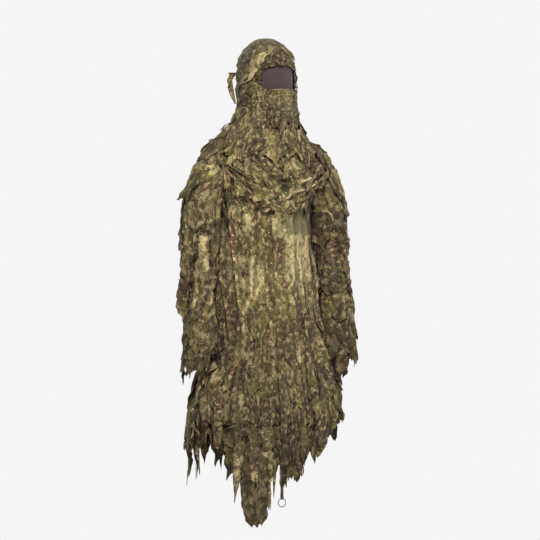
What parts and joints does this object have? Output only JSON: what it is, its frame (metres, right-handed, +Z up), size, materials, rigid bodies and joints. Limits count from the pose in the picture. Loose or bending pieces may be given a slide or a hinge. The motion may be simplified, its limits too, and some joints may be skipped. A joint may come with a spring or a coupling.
{
  "type": "hooded ghillie coat",
  "caption": "Hooded camouflage coat of light cloth covered in cut rags, with a net-covered face opening, face veil, zip front and ragged hem.",
  "frame": {"origin": "base of the wearer's neck, between the shoulders, where the coat's weight rests", "axes": "+Z up along the wearer, -Y to the wearer's front, +X to the wearer's left"},
  "size_m": [0.5898, 0.3621, 1.5057],
  "materials": {
    "coat_cloth": "thin printed camouflage cloth, matt",
    "sleeve_cloth": "thin printed camouflage cloth, matt",
    "hood_cloth": "thin printed camouflage cloth, matt",
    "cowl_cloth": "thin printed camouflage cloth, matt",
    "rag_cloth": "cut and frayed camouflage cloth, matt",
    "face_net": "fine see-through knitted net, matt",
    "cuff_elastic": "ribbed elastic band",
    "zip_tape": "woven tape",
    "zip_coil": "moulded coil",
    "zip_metal": "dull dark lacquer",
    "ring_steel": "dull blackened steel"
  },
  "bodies": {
    "coat": {"front_panel_left": "coat_cloth", "front_panel_right": "coat_cloth", "back_panel": "coat_cloth", "cowl_front": "cowl_cloth", "cowl_back": "cowl_cloth", "zip_tape_left": "zip_tape", "zip_tape_right": "zip_tape", "zip_coil_left": "zip_coil", "zip_coil_right": "zip_coil", "zip_top_stop_left": "zip_metal", "zip_top_stop_right": "zip_metal", "zip_bottom_box": "zip_metal", "chest_rag_right": "rag_cloth", "chest_rag_left": "rag_cloth", "waist_rag_right": "rag_cloth", "waist_rag_left": "rag_cloth", "hip_rag_right": "rag_cloth", "hip_rag_left": "rag_cloth", "back_rag_upper_right": "rag_cloth", "back_rag_upper_left": "rag_cloth", "back_rag_middle": "rag_cloth", "back_rag_lower_right": "rag_cloth", "back_rag_lower_left": "rag_cloth", "hem_rag_front_left": "rag_cloth", "hem_rag_left_1": "rag_cloth", "hem_rag_left_2": "rag_cloth", "hem_rag_left_3": "rag_cloth", "hem_rag_left_4": "rag_cloth", "hem_rag_back_left_1": "rag_cloth", "hem_rag_back_left_2": "rag_cloth", "hem_rag_back_middle": "rag_cloth", "hem_rag_back_right_1": "rag_cloth", "hem_rag_back_right_2": "rag_cloth", "hem_rag_back_right_3": "rag_cloth", "hem_rag_right_1": "rag_cloth", "hem_rag_right_2": "rag_cloth", "hem_tail_front": "rag_cloth", "ring_strap": "rag_cloth"},
    "hood": {"hood_side_left": "hood_cloth", "hood_side_right": "hood_cloth", "hood_crown_gusset": "hood_cloth", "hood_chin_band": "hood_cloth", "face_net": "face_net"},
    "veil": {"face_veil": "hood_cloth"},
    "left_sleeve": {"sleeve_left": "sleeve_cloth", "cuff_left": "cuff_elastic", "sleeve_rag_upper_left": "rag_cloth", "sleeve_rag_elbow_left": "rag_cloth", "sleeve_rag_fore_left": "rag_cloth"},
    "right_sleeve": {"sleeve_right": "sleeve_cloth", "cuff_right": "cuff_elastic", "sleeve_rag_upper_right": "rag_cloth", "sleeve_rag_elbow_right": "rag_cloth", "sleeve_rag_fore_right": "rag_cloth"},
    "flap": {"zip_flap": "coat_cloth"},
    "slider": {"zip_slider": "zip_metal"},
    "pull": {"zip_pull": "zip_metal"},
    "ring": {"hem_ring": "ring_steel"}
  },
  "joints": [
    {"name": "hood_fold", "type": "hinge", "parent": "coat", "child": "hood", "pos_m": [0, 0.112, 0.062], "axis": [-1, 0, 0], "range_deg": [0, 60]},
    {"name": "veil_open", "type": "hinge", "parent": "hood", "child": "veil", "pos_m": [0.0779, -0.0607, 0.137], "axis": [0, 0.08, 0.9968], "range_deg": [0, 100]},
    {"name": "left_sleeve_raise", "type": "hinge", "parent": "coat", "child": "left_sleeve", "pos_m": [0.19, 0, -0.095], "axis": [0, -1, 0], "range_deg": [0, 55]},
    {"name": "right_sleeve_raise", "type": "hinge", "parent": "coat", "child": "right_sleeve", "pos_m": [-0.19, 0, -0.095], "axis": [0, 1, 0], "range_deg": [0, 55]},
    {"name": "flap_open", "type": "hinge", "parent": "coat", "child": "flap", "pos_m": [0.045, -0.1475, -0.5247], "axis": [0, 0.0995, 0.995], "range_deg": [0, 110]},
    {"name": "zip_slide", "type": "slide", "parent": "coat", "child": "slider", "axis": [0, -0.0995, -0.995], "range_m": [0, 0.735]},
    {"name": "pull_swing", "type": "hinge", "parent": "slider", "child": "pull", "pos_m": [0, -0.0992, -0.0571], "axis": [-1, 0, 0], "range_deg": [0, 30]},
    {"name": "ring_swing", "type": "hinge", "parent": "coat", "child": "ring", "pos_m": [-0.032, -0.176, -1.06735], "axis": [1, 0, 0], "range_deg": [-40, 40]}
  ]
}
